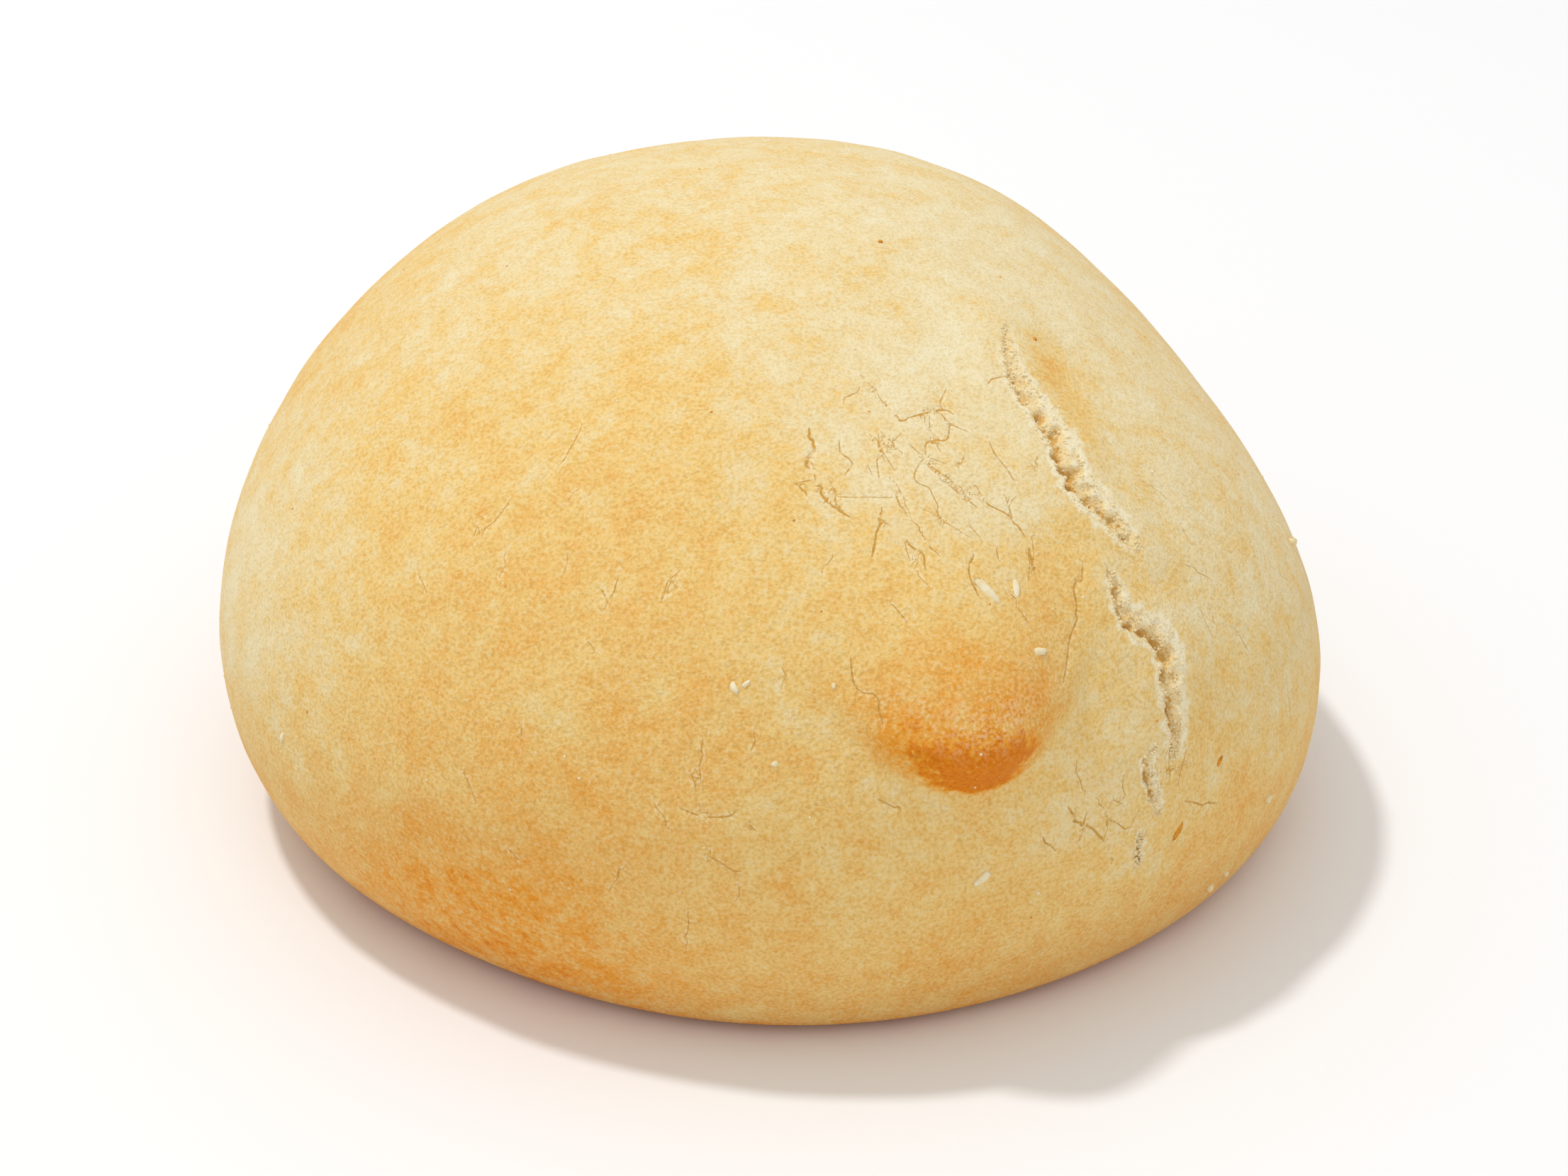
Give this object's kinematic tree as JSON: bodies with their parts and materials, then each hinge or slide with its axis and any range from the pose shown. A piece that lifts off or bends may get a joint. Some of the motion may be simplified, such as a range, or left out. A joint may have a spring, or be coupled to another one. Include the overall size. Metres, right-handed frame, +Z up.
{
  "type": "bread roll",
  "caption": "Round, pale golden bread roll with a domed crust, a browned knob low on its front and a torn split beside it, resting on a flat base.",
  "frame": {"origin": "on the surface the roll rests on, under the middle of its bounding box", "axes": "+Z up through the crown, -Y towards the front with the knob, +X to the right as seen from the front"},
  "size_m": [0.0968, 0.0964, 0.0544],
  "materials": {
    "crust": "matte"
  },
  "bodies": {
    "root": {"bread_roll": "crust"}
  },
  "joints": []
}
